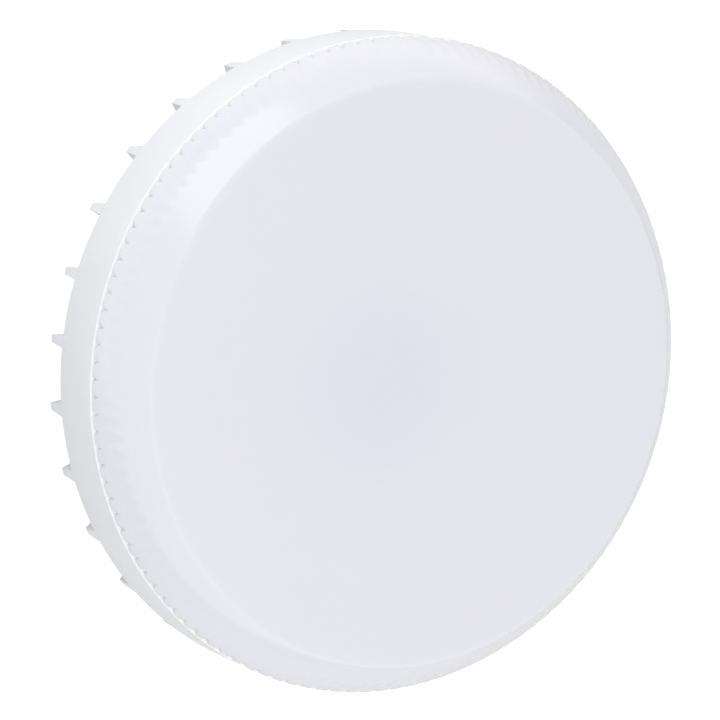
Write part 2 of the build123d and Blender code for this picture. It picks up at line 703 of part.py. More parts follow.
with BuildPart() as freewheel_diode:
    with Locations((*diode_spot, z_board - chip_lift)):
        Box(*diode_size, align=(Align.CENTER, Align.CENTER, Align.MAX))
    with Locations((*diode_spot, z_board)):
        Box(diode_size[0] + 2 * diode_tab_reach, diode_tab_width, lead_thickness,
            align=(Align.CENTER, Align.CENTER, Align.MAX))

with BuildPart() as chip_resistors:
    with Locations((*chip_resistor_spot, z_board)):
        with GridLocations(*chip_resistor_pitch, chip_resistor_column_count, chip_resistor_row_count):
            Box(*chip_resistor_size, align=(Align.CENTER, Align.CENTER, Align.MAX))

with BuildPart() as chip_capacitors:
    with Locations((*chip_capacitor_spot, z_board)):
        with GridLocations(0, chip_capacitor_pitch, 1, chip_capacitor_count):
            Box(*chip_capacitor_size, align=(Align.CENTER, Align.CENTER, Align.MAX))

# Contact pins: turned, flanged against the plate and riveted over on the collar
z_pin_tip = pin_setback
z_pin_flange = z_plate - pin_flange_height
z_pin_edge = z_pin_tip + pin_crown_height
pin_crown_radius = (pin_head_radius**2 + pin_crown_height**2) / (2 * pin_crown_height)
contact_pins = []
for side, name in ((-1, "contact_pin_left"), (1, "contact_pin_right")):
    pin_x = side * pin_spacing / 2
    with BuildPart() as contact_pin:
        with BuildSketch(Plane(origin=(pin_x, 0, 0), x_dir=(1, 0, 0), z_dir=(0, -1, 0))):
            with BuildLine():
                RadiusArc((0, z_pin_tip), (pin_head_radius, z_pin_edge), -pin_crown_radius)
                Polyline((pin_head_radius, z_pin_edge), (pin_head_radius, z_pin_tip + pin_head_height),
                         (pin_neck_radius, z_pin_tip + pin_head_height), (pin_neck_radius, z_pin_flange),
                         (pin_flange_radius, z_pin_flange), (pin_flange_radius, z_plate),
                         (pin_shank_radius, z_plate), (pin_shank_radius, z_pin_top - pin_rivet_height),
                         (pin_rivet_radius, z_pin_top - pin_rivet_height), (pin_rivet_radius, z_pin_top),
                         (strand_radius + solder_gap, z_pin_top),
                         (strand_radius + solder_gap, z_pin_top - pin_bore_depth),
                         (0, z_pin_top - pin_bore_depth), (0, z_pin_tip))
            make_face()
        revolve(axis=Axis(origin=(pin_x, 0, 0), direction=(0, 0, 1)))
    contact_pin.part.label = name
    contact_pins.append(contact_pin.part)

# Input leads: up out of each pin, over the plate and down to the driver board
z_lead_crest = z_sheet - wire_radius - lead_clearance
z_pin_bend = z_pin_top + pin_rise_share * (z_lead_crest - z_pin_top)
crest_height = z_lead_crest - z_board_top
board_tail = z_board_top - z_leg_end
pin_tail = pin_bore_depth - 2 * solder_gap
leads = []
for side, name in ((-1, "input_lead_left"), (1, "input_lead_right")):
    pin_x = side * pin_spacing / 2
    board_x = side * input_lead_x
    bends = [(board_x + way * (pin_x - board_x), 0, z_board_top + height * crest_height)
             for way, height in zip(input_way_shares, input_height_shares)]
    route = [(pin_x, 0, z_pin_top), (pin_x, 0, z_pin_bend), *bends, (board_x, 0, z_board_top)]
    leads.append(insulated_lead(name, route, pin_tail, board_tail))

# Output leads: up through sheet, spreader and LED board, then over to their pads
pad_tail = solder_height - 2 * solder_gap
for start, pad, name in zip(output_lead_ends, pad_spots, ("output_lead_negative", "output_lead_positive")):
    bends = [(start[0] + way * (pad[0] - start[0]), start[1] + way * (pad[1] - start[1]),
              z_pad + height * pad_loop) for way, height in zip(output_way_shares, output_height_shares)]
    route = [(*start, z_board_top), (*start, z_pad + pad_rise), *bends, (*pad, z_pad + pad_rise),
             (*pad, z_pad)]
    leads.append(insulated_lead(name, route, board_tail, pad_tail))

housing.part.label = "housing"
diffuser.part.label = "diffuser"
heat_spreader.part.label = "heat_spreader"
insulating_sheet.part.label = "insulating_sheet"
led_board.part.label = "led_board"
led_packages.part.label = "led_packages"
board_screws.part.label = "board_screws"
driver_board.part.label = "driver_board"
solder_joints.part.label = "solder_joints"
bulk_capacitor.part.label = "bulk_capacitor"
output_capacitor.part.label = "output_capacitor"
film_capacitor.part.label = "film_capacitor"
varistor.part.label = "varistor"
fusible_resistor.part.label = "fusible_resistor"
choke_core.part.label = "choke_core"
choke_winding.part.label = "choke_winding"
freewheel_diode.part.label = "freewheel_diode"
chip_resistors.part.label = "chip_resistors"
chip_capacitors.part.label = "chip_capacitors"

os.makedirs("parts", exist_ok=True)
built = [housing, diffuser, heat_spreader, insulating_sheet, led_board, led_packages, board_screws,
         driver_board, solder_joints, bulk_capacitor, output_capacitor, film_capacitor, varistor,
         fusible_resistor, choke_core, choke_winding, freewheel_diode, chip_resistors, chip_capacitors]
pieces = [item.part for item in built] + [bridge_rectifier, driver_chip] + contact_pins + leads
for piece in pieces:
    export_step(piece, f"parts/{piece.label}.step")
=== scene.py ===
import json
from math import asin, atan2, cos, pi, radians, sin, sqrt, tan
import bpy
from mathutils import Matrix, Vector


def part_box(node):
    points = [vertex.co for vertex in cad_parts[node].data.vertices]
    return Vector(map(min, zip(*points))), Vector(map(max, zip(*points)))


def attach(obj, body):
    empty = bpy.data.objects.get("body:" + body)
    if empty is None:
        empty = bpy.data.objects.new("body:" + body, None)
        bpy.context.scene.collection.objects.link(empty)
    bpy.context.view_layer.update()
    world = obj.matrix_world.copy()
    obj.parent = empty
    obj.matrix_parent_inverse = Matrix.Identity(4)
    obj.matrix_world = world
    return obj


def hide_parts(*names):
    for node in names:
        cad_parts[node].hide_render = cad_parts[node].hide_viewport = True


bl_info = {
    "name": "LED disc lamp",
    "version": (1, 0, 0),
    "blender": (4, 5, 0),
    "location": "View3D > Sidebar > Disc lamp",
    "description": "Finished shapes, surfaces and studio of the twist-lock LED disc lamp",
    "category": "Object",
}

import bmesh
import bpy
from bpy.props import FloatProperty, FloatVectorProperty, IntProperty, PointerProperty
from mathutils import Matrix, Vector

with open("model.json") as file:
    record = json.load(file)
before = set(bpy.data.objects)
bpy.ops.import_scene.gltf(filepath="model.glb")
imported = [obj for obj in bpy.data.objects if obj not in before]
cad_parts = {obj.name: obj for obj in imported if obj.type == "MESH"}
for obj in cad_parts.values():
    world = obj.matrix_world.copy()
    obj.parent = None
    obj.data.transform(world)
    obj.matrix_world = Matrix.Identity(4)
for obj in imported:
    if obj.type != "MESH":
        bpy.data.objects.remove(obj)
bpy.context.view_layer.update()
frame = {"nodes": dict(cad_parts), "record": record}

MM = 0.001
ROUND_STEPS = 360
BORE_STEPS = 48
PIN_STEPS = 64
STEPS_PER_NOTCH = 8
DOME_ROWS = 24
INNER_DOME_ROWS = 8
SIDE_ROWS = 84
CLOSE_ROWS = 14
CROWN_ROWS = 10
ROUND_SEGMENTS = 5
FIN_SEGMENTS = 3
SOFT_CORNER = radians(35)
# In millimetres: how far joined forms run into each other, how closely a level has to match, how far round
# a bored hole the flat faces are laid anew, how far outside the skirt the diffuser's side is shaped, and
# how near two points have to lie to become one
OVERLAP = 0.1
LEVEL_MATCH = 0.01
PATCH_MARGIN = 1.5
SKIRT_MARGIN = 0.1
MERGE_DISTANCE = 1e-4
# Bearings in degrees of what stands inside the housing
POST_BEARINGS = range(90, 360, 120)
RIB_BEARINGS = range(30, 360, 60)
LEDGE_BEARINGS = range(50, 360, 90)
KEY_BEARING = 70


# Sizes and colours

def length(name, description, millimetres):
    """A size in the sidebar, given here in millimetres."""
    return FloatProperty(name=name, description=description, default=millimetres * MM, unit="LENGTH",
                         precision=4)


def angle(name, description, degrees):
    """An angle in the sidebar, given here in degrees."""
    return FloatProperty(name=name, description=description, default=radians(degrees), subtype="ANGLE")


def linear(code):
    """The linear colour of an sRGB hex code such as "#E8E9EF"."""
    parts = [int(code[i:i + 2], 16) / 255 for i in (1, 3, 5)]
    return [part / 12.92 if part <= 0.04045 else ((part + 0.055) / 1.055) ** 2.4 for part in parts]


def colour(name, description, code):
    """A colour in the sidebar, given here as an sRGB hex code."""
    return FloatVectorProperty(name=name, description=description, default=linear(code), subtype="COLOR",
                               size=3, min=0.0, max=1.0)


class HousingSizes(bpy.types.PropertyGroup):
    """Sizes of the housing"""
    ring_radius: length("Ring radius", "Outside of the ring at the seam", 37.5)
    ring_wall: length("Ring wall", "Thickness of the ring", 1.8)
    ring_height: length("Ring height", "From the rear rim up to the seam", 8.2)
    ring_draft: angle("Ring draft", "Slope of the ring's outside", 2)
    rim_bevel: length("Rim bevel", "Bevel of the ring's edge at the seam", 0.4)
    seam_round: length("Seam round", "Rounding of the ring's inner edge at the seam", 0.2)
    rear_rim: length("Rear rim", "Flat rim between ring and shoulder", 0.9)
    rim_round: length("Rim round", "Rounding of both edges of the rear rim", 0.3)
    shoulder_depth: length("Shoulder depth", "Height of the sloping shoulder", 4.8)
    shoulder_width: length("Shoulder width", "Width of the sloping shoulder", 3.9)
    plate_wall: length("Plate wall", "Thickness of the rear plate", 2.0)
    plate_round: length("Plate round", "Rounding between plate and shoulder", 0.4)
    boss_radius: length("Boss radius", "Centre boss where it leaves the plate", 19.5)
    boss_height: length("Boss height", "From the end face to the plate", 8.4)
    boss_wall: length("Boss wall", "Thickness of the boss wall", 1.9)
    boss_floor: length("Boss floor", "Thickness of the boss's end", 1.8)
    boss_draft: angle("Boss draft", "Slope of the boss's side", 1)
    boss_round: length("Boss round", "Rounding of the boss's end", 1.0)
    boss_root_round: length("Boss root round", "Rounding where the boss leaves the plate", 0.8)
    fin_count: IntProperty(name="Fins", description="Number of cooling fins", default=30, min=3)
    fin_thickness: length("Fin thickness", "Thickness of a fin at its root", 1.4)
    fin_drop: length("Fin drop", "How far a fin's outer end stands behind the rim", 3.3)
    fin_draft: angle("Fin draft", "Slope of a fin's sides", 5)
    fin_inset: length("Fin inset", "How far a fin's outer end stands in from the rim's edge", 0.1)
    fin_root: length("Fin root", "How far a fin runs in past the shoulder's foot", 0.3)
    fin_round: length("Fin round", "Rounding of a fin's edges", 0.22)
    post_radius: length("Post radius", "Radius of the three screw posts", 3.0)
    post_circle: length("Post circle", "Radius on which the posts stand", 22.5)
    post_top: length("Post top", "Height of the posts and ribs over the end face", 16.8)
    pilot_radius: length("Pilot radius", "Radius of the screw holes", 1.2)
    pilot_depth: length("Pilot depth", "Depth of the screw holes", 6.0)
    rib_start: length("Rib start", "Inner end of the support ribs", 26.0)
    rib_end: length("Rib end", "Outer end of the support ribs", 33.5)
    rib_width: length("Rib width", "Thickness of the support ribs", 1.2)
    pin_bore: length("Pin bore", "Radius of the holes for the contact pins", 1.75)
    pin_collar: length("Pin collar", "Radius of the collars round those holes", 3.5)
    collar_height: length("Collar height", "Height of those collars over the plate", 1.5)
    board_level: length("Board level", "Underside of the driver board over the end face", 5.2)
    board_thickness: length("Board thickness", "Thickness of the driver board", 1.6)
    ledge_reach: length("Ledge reach", "How far the board's ledges stand in from the wall", 2.2)
    ledge_width: length("Ledge width", "Thickness of the board's ledges", 1.2)
    key_reach: length("Key reach", "How far the board's key stands in from the wall", 1.2)
    key_width: length("Key width", "Thickness of the board's key", 1.6)


class DiffuserSizes(bpy.types.PropertyGroup):
    """Sizes of the diffuser"""
    edge_step: length("Edge step", "How far the diffuser's edge stands in from the ring", 0.05)
    wall: length("Wall", "Thickness of the opal wall", 1.4)
    face_inset: length("Face inset", "From the ring's edge in to the front shoulder", 4.2)
    face_height: length("Face height", "From the seam up to the front shoulder", 6.3)
    face_round: length("Face round", "Rounding of the front shoulder", 0.7)
    side_bulge: length("Side bulge", "How far the side bows out from straight", 0.4)
    dome: length("Dome", "Rise of the front face", 1.8)
    skirt_gap: length("Skirt gap", "Between the skirt and the ring's inside", 0.15)
    skirt_depth: length("Skirt depth", "How far the skirt reaches down into the ring", 2.3)
    skirt_wall: length("Skirt wall", "Thickness of the skirt", 1.2)
    notch_count: IntProperty(name="Notches", description="Number of small notches at the edge", default=120,
                             min=3)
    notch_angle: angle("Notch angle", "Bearing of the first notch", 1.5)
    notch_width: length("Notch width", "Mouth of a notch at the seam", 0.9)
    notch_height: length("Notch height", "How high a notch runs up the side", 0.9)
    ripple: length("Ripple", "Height of the faint moulding ripple above the notches", 0.038)
    ripple_height: length("Ripple height", "How high up the side the ripple is highest", 2.6)
    ripple_end: length("Ripple end", "How high up the side the ripple has faded out", 3.9)


class PinSizes(bpy.types.PropertyGroup):
    """Sizes of the contact pins"""
    spacing: length("Spacing", "Between the axes of the two pins", 53.0)
    head_radius: length("Head radius", "Radius of the mushroom head", 2.5)
    head_height: length("Head height", "Height of the head with its crown", 1.9)
    crown_height: length("Crown height", "Height of the domed crown", 0.85)
    crown_bow: length("Crown bow", "How far the crown bows out from a cone", 0.218)
    head_round: length("Head round", "Rounding of the head's upper edge", 0.25)
    neck_radius: length("Neck radius", "Radius of the neck over the head", 1.5)
    neck_foot_round: length("Neck foot round", "Rounding between head and neck", 0.2)
    neck_top_round: length("Neck top round", "Rounding between neck and flange", 0.3)
    flange_radius: length("Flange radius", "Radius of the flange under the housing's plate", 3.2)
    flange_height: length("Flange height", "Thickness of the flange", 0.8)
    flange_round: length("Flange round", "Rounding of the flange's edges", 0.15)
    shank_radius: length("Shank radius", "Radius of the shank in the plate", 1.7)
    rivet_radius: length("Rivet radius", "Radius of the riveted end", 2.2)
    rivet_height: length("Rivet height", "Height of the riveted end", 0.5)
    wire_bore: length("Wire bore", "Radius of the hole for the wire", 0.3)
    wire_depth: length("Wire depth", "Depth of the hole for the wire", 2.6)


class LampColours(bpy.types.PropertyGroup):
    """Colours of what is seen from outside"""
    housing: colour("Housing", "White of the moulded housing", "#F4F5F9")
    diffuser: colour("Diffuser", "Opal white of the diffuser", "#E6E7EE")
    # Painted shade: the darker, bluer middle of the diffuser's face, where the board behind the shell darkens
    # it
    diffuser_painted_shade: colour("Diffuser heart", "Where the board shows faintly through the middle", "#E0E1EC")


def sizes(context, group):
    """The sizes of one property group in millimetres, and its counts and angles as they are."""
    settings = getattr(context.scene, group)
    made = {}
    for key in settings.__annotations__:
        value = getattr(settings, key)
        is_length = settings.bl_rna.properties[key].unit == "LENGTH"
        made[key] = value / MM if is_length else value
    return made


# Mesh tools: everything is drawn in millimetres and turned about the lamp's axis

def arc(start, end, bow, count):
    """Points after start up to end on an arc that bows out to the right of its chord."""
    chord = Vector(end) - Vector(start)
    half = chord.length / 2
    radius = (half ** 2 + bow ** 2) / (2 * bow)
    centre = (Vector(start) + Vector(end)) / 2 + (bow - radius) * Vector((chord.y, -chord.x)).normalized()
    sweep = 2 * asin(half / radius)
    arm = Vector(start) - centre
    points = []
    for step in range(1, count + 1):
        turn = sweep * step / count
        points.append((centre.x + arm.x * cos(turn) - arm.y * sin(turn),
                       centre.y + arm.x * sin(turn) + arm.y * cos(turn)))
    return points


def turned(mesh, outline, rounds=(), steps=ROUND_STEPS, centre=(0, 0)):
    """Spins an (r, z) outline a full turn about an upright axis; rounds holds (corner's index, radius)."""
    corners = [mesh.verts.new((centre[0] + r, centre[1], z)) for r, z in outline]
    for ends in zip(corners, corners[1:]):
        mesh.edges.new(ends)
    fillets = []
    for index, radius in rounds:
        run_in = corners[index].co - corners[index - 1].co
        run_out = corners[index + 1].co - corners[index].co
        fillets.append((corners[index], radius * tan(run_in.angle(run_out) / 2)))
    made = set(corners)
    for corner, offset in fillets:
        result = bmesh.ops.bevel(mesh, geom=[corner], offset=offset, offset_type="OFFSET", affect="VERTICES",
                                 segments=ROUND_SEGMENTS, profile=0.5, material=-1)
        made |= set(result["verts"])
    made = [vert for vert in made if vert.is_valid]
    lines = list({edge for vert in made for edge in vert.link_edges})
    bmesh.ops.spin(mesh, geom=made + lines, cent=(*centre, 0), axis=(0, 0, 1), angle=2 * pi, steps=steps,
                   use_merge=True)


def block(mesh, near, far, width, low, high, bearing):
    """An upright block that points at the axis, from one radius to another, at a bearing in degrees."""
    made = bmesh.ops.create_cube(mesh, size=1.0)["verts"]
    bmesh.ops.scale(mesh, verts=made, vec=(far - near, width, high - low))
    bmesh.ops.translate(mesh, verts=made, vec=((near + far) / 2, 0, (low + high) / 2))
    bmesh.ops.rotate(mesh, verts=made, cent=(0, 0, 0), matrix=Matrix.Rotation(radians(bearing), 3, "Z"))


def bored(mesh, x, radius, patch, levels):
    """An upright round hole on the X axis through two flat levels, whose faces are laid anew within patch."""
    rims = []
    for level in levels:
        flat = [face for face in mesh.faces
                if all(abs(vert.co.z - level) < LEVEL_MATCH for vert in face.verts)]
        near = [face for face in flat if (face.calc_center_median().xy - Vector((x, 0))).length < patch]
        border = {edge for face in near for edge in face.edges}
        bmesh.ops.delete(mesh, geom=near, context="FACES")
        ring = bmesh.ops.create_circle(mesh, segments=BORE_STEPS, radius=radius,
                                       matrix=Matrix.Translation((x, 0, level)))
        rim = list({edge for vert in ring["verts"] for edge in vert.link_edges})
        open_edges = [edge for edge in border if edge.is_valid and edge.is_boundary]
        bmesh.ops.triangle_fill(mesh, edges=open_edges + rim, use_beauty=True, normal=(0, 0, 1))
        rims += rim
    bmesh.ops.bridge_loops(mesh, edges=rims)


def finished(mesh, name, node, material):
    """Closes the bmesh, makes it an object in metres and lets it stand for its CAD node."""
    bmesh.ops.remove_doubles(mesh, verts=mesh.verts, dist=MERGE_DISTANCE)
    bmesh.ops.recalc_face_normals(mesh, faces=mesh.faces)
    bmesh.ops.scale(mesh, verts=mesh.verts, vec=(MM, MM, MM))
    for face in mesh.faces:
        face.smooth = True
    for edge in mesh.edges:
        edge.smooth = edge.is_manifold and edge.calc_face_angle() < SOFT_CORNER
    data = bpy.data.meshes.new(name)
    mesh.to_mesh(data)
    mesh.free()
    piece = bpy.data.objects.new(name, data)
    bpy.context.scene.collection.objects.link(piece)
    data.materials.append(material)
    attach(piece, "root")
    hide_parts(node)


# Surfaces. The spans are where the values of a noise pattern mostly lie.

CLOUD_SPAN = (0.35, 0.65)
GRAIN_SPAN = (0.3, 0.7)


def add_node(owner, kind, inputs=None, **settings):
    """A node with its settings; an input that is a socket gets linked, any other is typed in."""
    tree = owner.node_tree
    node = tree.nodes.new(kind)
    for key, value in settings.items():
        setattr(node, key, value)
    for key, value in (inputs or {}).items():
        if isinstance(value, bpy.types.NodeSocket):
            tree.links.new(value, node.inputs[key])
        else:
            node.inputs[key].default_value = value
    return node


def per_metre(millimetres):
    """The scale that gives a noise pattern features of that size on Object coordinates."""
    return 1 / (millimetres * MM)


def surface(name, base, shade, clouds, grain, roughness, relief, stretch=(1, 1, 1), **shader):
    """A Principled surface whose colour drifts from base to shade, with fine grain in gloss and relief.

    clouds and grain are the sizes of the two patterns in millimetres, relief the grain's height in
    millimetres, and roughness is the least and the most of it. stretch draws the grain out along an axis.
    """
    material = bpy.data.materials.new(name)
    material.use_nodes = True
    material.node_tree.nodes.clear()
    place = add_node(material, "ShaderNodeTexCoord").outputs["Object"]
    drift = add_node(material, "ShaderNodeTexNoise", {"Vector": place, "Scale": per_metre(clouds),
                                                      "Detail": 3.0})
    drawn = add_node(material, "ShaderNodeMapping", {"Vector": place, "Scale": stretch}).outputs["Vector"]
    fine = add_node(material, "ShaderNodeTexNoise", {"Vector": drawn, "Scale": per_metre(grain),
                                                     "Detail": 4.0})
    tone = add_node(material, "ShaderNodeMapRange", {"Value": drift.outputs["Fac"],
                                                     1: CLOUD_SPAN[0], 2: CLOUD_SPAN[1]})
    mixed = add_node(material, "ShaderNodeMix", {0: tone.outputs["Result"], 6: (*base, 1), 7: (*shade, 1)},
                     data_type="RGBA")
    gloss = add_node(material, "ShaderNodeMapRange", {"Value": fine.outputs["Fac"],
                                                      1: GRAIN_SPAN[0], 2: GRAIN_SPAN[1],
                                                      3: roughness[0], 4: roughness[1]})
    bump = add_node(material, "ShaderNodeBump", {"Height": fine.outputs["Fac"], "Distance": relief * MM,
                                                 "Strength": 1.0})
    bsdf = add_node(material, "ShaderNodeBsdfPrincipled",
                    {"Base Color": mixed.outputs[2], "Roughness": gloss.outputs["Result"],
                     "Normal": bump.outputs["Normal"], **shader})
    add_node(material, "ShaderNodeOutputMaterial", {"Surface": bsdf.outputs["BSDF"]})
    return material


def node_of(material, kind):
    """The first of a material's nodes of one kind."""
    return next(node for node in material.node_tree.nodes if node.bl_idname == kind)


def housing_plastic(context):
    """Moulded white PBT: a clean white with a soft satin sheen, and a painted highlight in a fine line at the
    seam.
    """
    colours = context.scene.disc_lamp_colours
    size = sizes(context, "disc_lamp_housing")
    seam = size["boss_height"] + size["shoulder_depth"] + size["ring_height"]
    material = surface("moulded white PBT", colours.housing, linear("#F1F2F6"), 14.0, 0.5, (0.34, 0.46),
                       0.004, **{"IOR": 1.5, "Subsurface Weight": 0.12, "Subsurface Scale": 0.0006,
                                 "Subsurface Radius": (1.0, 1.0, 1.0)})
    # The painted highlight line on the bevel, in shares of the bevel's height: how far its middle lies down,
    # and its half width
    down, full, faded = 0.72, 0.2, 0.26
    bevel = size["rim_bevel"] * MM
    place = node_of(material, "ShaderNodeTexCoord").outputs["Object"]
    height = add_node(material, "ShaderNodeSeparateXYZ", {"Vector": place}).outputs["Z"]
    off = add_node(material, "ShaderNodeMath", {0: height, 1: seam * MM - down * bevel}, operation="SUBTRACT")
    aside = add_node(material, "ShaderNodeMath", {0: off.outputs["Value"]}, operation="ABSOLUTE")
    edge = add_node(material, "ShaderNodeMapRange", {"Value": aside.outputs["Value"], 1: faded * bevel,
                                                     2: full * bevel, 3: 0.0, 4: 1.0})
    # Painted highlight: within this band the bevel is drawn near white
    painted_highlight = add_node(material, "ShaderNodeMix", {0: edge.outputs["Result"],
                                                   6: node_of(material, "ShaderNodeMix").outputs[2],
                                                   7: (*linear("#FCFCFD"), 1)}, data_type="RGBA")
    shader = node_of(material, "ShaderNodeBsdfPrincipled")
    material.node_tree.links.new(painted_highlight.outputs[2], shader.inputs["Base Color"])
    return material


def opal_diffuser(context):
    """Moulded opal polycarbonate: milky, cool and glossy, with painted shade: softly darker where the board
    lies behind.
    """
    colours = context.scene.disc_lamp_colours
    material = surface("moulded opal polycarbonate", colours.diffuser, linear("#E6E6ED"), 22.0, 3.0,
                       (0.1, 0.14), 0.0015,
                       **{"IOR": 1.585, "Subsurface Weight": 0.3, "Subsurface Radius": (1.0, 1.0, 1.05),
                          "Subsurface Scale": 0.0012, "Coat Weight": 1.0, "Coat Roughness": 0.05})
    # The painted shade in the heart of the face, in millimetres: its middle, and the radii between which it
    # fades out
    heart_x, heart_y, heart_core, heart_reach = -5.5, 0.5, 2.0, 20.0
    place = node_of(material, "ShaderNodeTexCoord").outputs["Object"]
    cloudy = node_of(material, "ShaderNodeMix").outputs[2]
    flat = add_node(material, "ShaderNodeMapping",
                    {"Vector": place, "Scale": (1, 1, 0), "Location": (-heart_x * MM, -heart_y * MM, 0)})
    reach = add_node(material, "ShaderNodeVectorMath", {0: flat.outputs["Vector"]}, operation="LENGTH")
    heart = add_node(material, "ShaderNodeMapRange", {"Value": reach.outputs["Value"], 1: heart_core * MM,
                                                      2: heart_reach * MM, 3: 1.0, 4: 0.0},
                     interpolation_type="SMOOTHERSTEP")
    # Painted shade: the face is mixed towards the darker, bluer colour near its middle
    shaded = add_node(material, "ShaderNodeMix", {0: heart.outputs["Result"], 6: cloudy,
                                                  7: (*colours.diffuser_painted_shade, 1)}, data_type="RGBA")
    shader = node_of(material, "ShaderNodeBsdfPrincipled")
    material.node_tree.links.new(shaded.outputs[2], shader.inputs["Base Color"])
    return material


def contact_brass():
    """Turned brass under bright nickel: a warm grey metal with the fine rings of the lathe."""
    return surface("turned nickel-plated brass", linear("#D9D4C8"), linear("#CBC3B2"), 1.5, 0.12, (0.16, 0.3),
                   0.003, stretch=(0.15, 0.15, 1), Metallic=1.0)


def inner_surfaces():
    """The surfaces of the pieces inside the housing, by the record's slots."""
    return {
        # Stamped aluminium sheet: grey, dull, with the drawn streaks of rolling
        "spreader_aluminium": surface("stamped aluminium sheet", linear("#C9CBCD"), linear("#BBBDC0"), 6.0,
                                      0.4, (0.32, 0.48), 0.004, stretch=(0.08, 1, 1), Metallic=1.0),
        # Polyester film: amber, smooth and shiny
        "insulating_film": surface("calendered polyester film", linear("#C98F3A"), linear("#BE8230"), 10.0,
                                   1.0, (0.12, 0.2), 0.002, IOR=1.57),
        # Printed solder mask on an aluminium board: flat bright white
        "white_board": surface("screen-printed white solder mask", linear("#F1F2EE"), linear("#E9EAE5"),
                               5.0, 0.2, (0.38, 0.5), 0.003, IOR=1.5),
        # Phosphor in silicone: opaque egg yellow, slightly waxy
        "led_phosphor": surface("phosphor-filled silicone", linear("#F2D45C"), linear("#EBC94B"), 0.8, 0.08,
                                (0.3, 0.42), 0.003, IOR=1.41),
        # Zinc-plated steel: bluish grey, bright, with a slightly uneven plating
        "screw_steel": surface("zinc-plated steel", linear("#C4C8CC"), linear("#AEB4B9"), 0.9, 0.15,
                               (0.22, 0.38), 0.004, Metallic=1.0),
        # Glass-epoxy laminate under green mask: dark green, with tracks that show through
        "circuit_board": circuit_board(),
        # Tin solder: bright silver cones with a rippled, half-frozen skin
        "solder": surface("reflowed tin solder", linear("#D3D5D7"), linear("#B9BCBF"), 0.5, 0.12,
                          (0.14, 0.36), 0.012, Metallic=1.0),
        # Shrunk PVC sleeve: dark, glossy, a little wavy over the can
        "capacitor_sleeve": surface("shrunk PVC sleeve", linear("#20242B"), linear("#2A2F38"), 4.0, 0.6,
                                    (0.18, 0.28), 0.01, IOR=1.53),
        # Epoxy-filled box: dense yellow plastic with a dull moulded skin
        "film_capacitor_case": surface("moulded polyester case", linear("#D9A521"), linear("#CF9A18"), 3.0,
                                       0.2, (0.3, 0.44), 0.006, IOR=1.56),
        # Dipped epoxy: blue, glossy and orange-peeled
        "varistor_coating": surface("dipped blue epoxy", linear("#1F4FA3"), linear("#1B4692"), 2.0, 0.7,
                                    (0.14, 0.24), 0.03, IOR=1.56),
        # Baked enamel: matt grey-green, slightly grainy
        "resistor_enamel": surface("baked flameproof enamel", linear("#7E8F86"), linear("#72837A"), 1.2,
                                   0.15, (0.45, 0.6), 0.01, IOR=1.5),
        # Sintered ferrite: charcoal, dry, with tiny pits
        "ferrite": surface("sintered ferrite", linear("#2F3133"), linear("#3A3C3E"), 1.5, 0.1, (0.5, 0.7),
                           0.015, IOR=1.9),
        # Enamelled copper in level turns: reddish, glossy, ribbed
        "copper_wire": wound_wire(),
        # Moulded epoxy: black with a fine eroded texture
        "chip_resin": surface("moulded black epoxy", linear("#191A1B"), linear("#222324"), 1.5, 0.08,
                              (0.48, 0.62), 0.006, IOR=1.55),
        # Fired glass over resistive paste: black and shiny
        "chip_resistor_glaze": surface("fired black glaze", linear("#1A1B1D"), linear("#26282B"), 0.8, 0.1,
                                       (0.12, 0.22), 0.003, IOR=1.6),
        # Sintered ceramic: tan, fine and dull
        "chip_capacitor_body": surface("sintered tan ceramic", linear("#A98563"), linear("#9C7858"), 0.8,
                                       0.08, (0.4, 0.55), 0.004, IOR=1.8),
        # Extruded silicone-rubber sleeves: soft satin, with a fine grain
        "lead_sleeve_white": surface("extruded white silicone rubber", linear("#E7E5DF"), linear("#DCDAD3"),
                                     4.0, 0.2, (0.42, 0.55), 0.004, IOR=1.41),
        "lead_sleeve_black": surface("extruded black silicone rubber", linear("#1C1C1D"), linear("#262627"),
                                     4.0, 0.2, (0.42, 0.55), 0.004, IOR=1.41),
        "lead_sleeve_red": surface("extruded red silicone rubber", linear("#A3201C"), linear("#931A17"),
                                   4.0, 0.2, (0.42, 0.55), 0.004, IOR=1.41),
    }


def circuit_board():
    """Glass-epoxy laminate under green solder mask: dark green and shiny, with darker lines as tracks."""
    material = surface("green solder mask on glass-epoxy", linear("#1F5A33"), linear("#1B5230"), 4.0, 0.25,
                       (0.26, 0.36), 0.004, IOR=1.52)
    place = node_of(material, "ShaderNodeTexCoord").outputs["Object"]
    mask = node_of(material, "ShaderNodeMix").outputs[2]
    cells = add_node(material, "ShaderNodeTexVoronoi", {"Vector": place, "Scale": per_metre(3.0)},
                     distance="CHEBYCHEV", feature="DISTANCE_TO_EDGE")
    track = add_node(material, "ShaderNodeMapRange", {"Value": cells.outputs["Distance"], 1: 0.06, 2: 0.1})
    inked = add_node(material, "ShaderNodeMix", {0: track.outputs["Result"], 6: (*linear("#123D22"), 1),
                                                 7: mask}, data_type="RGBA")
    shader = node_of(material, "ShaderNodeBsdfPrincipled")
    material.node_tree.links.new(inked.outputs[2], shader.inputs["Base Color"])
    return material


def wound_wire():
    """Enamelled copper wire wound in level turns: reddish, glossy, ribbed at each turn."""
    material = surface("wound enamelled copper", linear("#B4632F"), linear("#A35627"), 1.0, 0.1, (0.16, 0.26),
                       0.002, Metallic=1.0)
    place = node_of(material, "ShaderNodeTexCoord").outputs["Object"]
    turns = add_node(material, "ShaderNodeTexWave", {"Vector": place, "Scale": per_metre(0.35) / (2 * pi),
                                                     "Distortion": 0.4}, bands_direction="Z")
    bump = node_of(material, "ShaderNodeBump")
    ribs = add_node(material, "ShaderNodeBump", {"Height": turns.outputs["Fac"], "Distance": 0.08 * MM,
                                                 "Normal": bump.outputs["Normal"]})
    shader = node_of(material, "ShaderNodeBsdfPrincipled")
    material.node_tree.links.new(ribs.outputs["Normal"], shader.inputs["Normal"])
    return material


# Pieces

